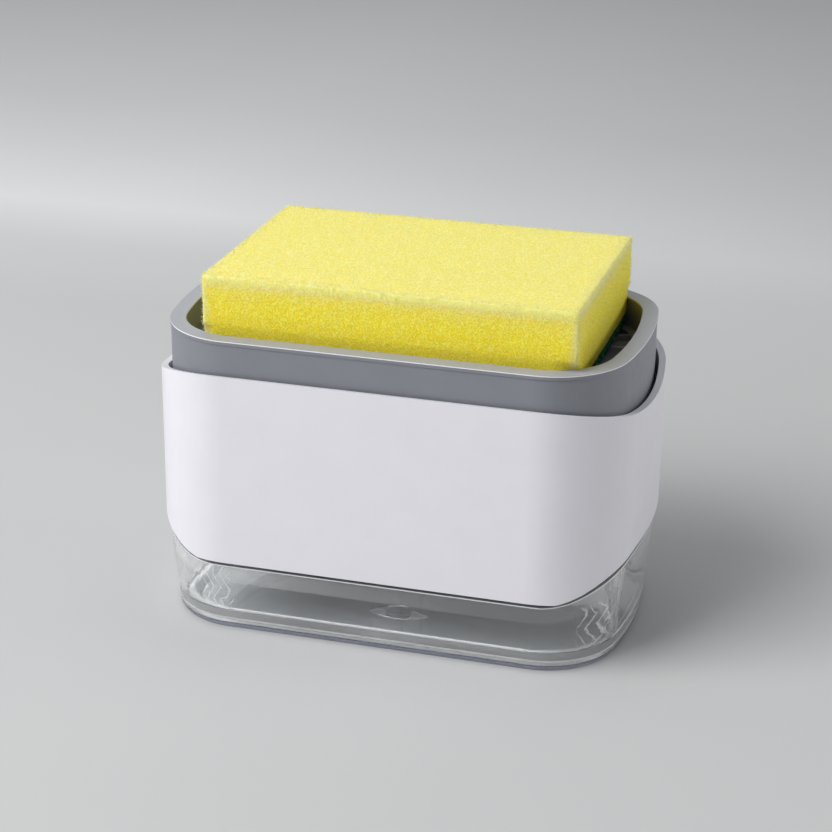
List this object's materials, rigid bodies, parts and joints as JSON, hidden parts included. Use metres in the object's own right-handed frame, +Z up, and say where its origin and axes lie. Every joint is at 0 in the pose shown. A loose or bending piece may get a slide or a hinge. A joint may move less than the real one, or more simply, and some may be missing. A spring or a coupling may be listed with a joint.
{
  "type": "soap pump caddy",
  "caption": "Countertop dish soap pump caddy: a sponge on a sprung tray that pumps soap up from a clear tank inside a white sleeve.",
  "frame": {"origin": "middle of the footprint, on the surface that the tank stands on", "axes": "+X along the width to the right, +Y towards the back, +Z up; the front face looks towards -Y"},
  "size_m": [0.132, 0.08, 0.0988],
  "materials": {
    "clear_plastic": "clear moulded plastic",
    "white_plastic": "satin",
    "pump_plastic": "milky moulded plastic",
    "grey_plastic": "satin",
    "tray_grey": "satin",
    "dark_rubber": "matte",
    "ball_steel": "polished",
    "spring_steel": "drawn wire",
    "yellow_foam": "open-cell foam",
    "green_scourer": "non-woven fibre"
  },
  "bodies": {
    "tank": {"tank": "clear_plastic"},
    "cover": {"sleeve": "white_plastic", "deck": "white_plastic", "rim_gasket": "dark_rubber", "flange_gasket": "dark_rubber", "pump_body": "pump_plastic", "pump_cap": "white_plastic", "nut_washer": "dark_rubber", "pump_nut": "grey_plastic", "ball_cage": "grey_plastic", "dip_tube": "pump_plastic", "tube_foot": "pump_plastic", "return_spring": "spring_steel"},
    "press": {"press_tray": "tray_grey", "stem": "pump_plastic", "piston": "grey_plastic", "piston_seal": "dark_rubber", "outlet_cap": "grey_plastic"},
    "sponge": {"scour_pad": "green_scourer", "sponge_foam": "yellow_foam"},
    "inlet_valve": {"inlet_ball": "ball_steel"},
    "outlet_valve": {"outlet_ball": "ball_steel"}
  },
  "joints": [
    {"name": "cover_lift", "type": "slide", "parent": "tank", "child": "cover", "axis": [0, 0, 1], "range_m": [0, 0.06]},
    {"name": "tray_press", "type": "slide", "parent": "cover", "child": "press", "axis": [0, 0, -1], "range_m": [0, 0.0075], "stiffness_N_per_m": 400, "springref_m": -0.01, "deforming": ["return_spring"]},
    {"name": "sponge_lift", "type": "slide", "parent": "press", "child": "sponge", "axis": [0, 0, 1], "range_m": [0, 0.03]},
    {"name": "inlet_ball_lift", "type": "slide", "parent": "cover", "child": "inlet_valve", "axis": [0, 0, 1], "range_m": [0, 0.0015]},
    {"name": "outlet_ball_lift", "type": "slide", "parent": "press", "child": "outlet_valve", "axis": [0, 0, 1], "range_m": [0, 0.001]}
  ]
}
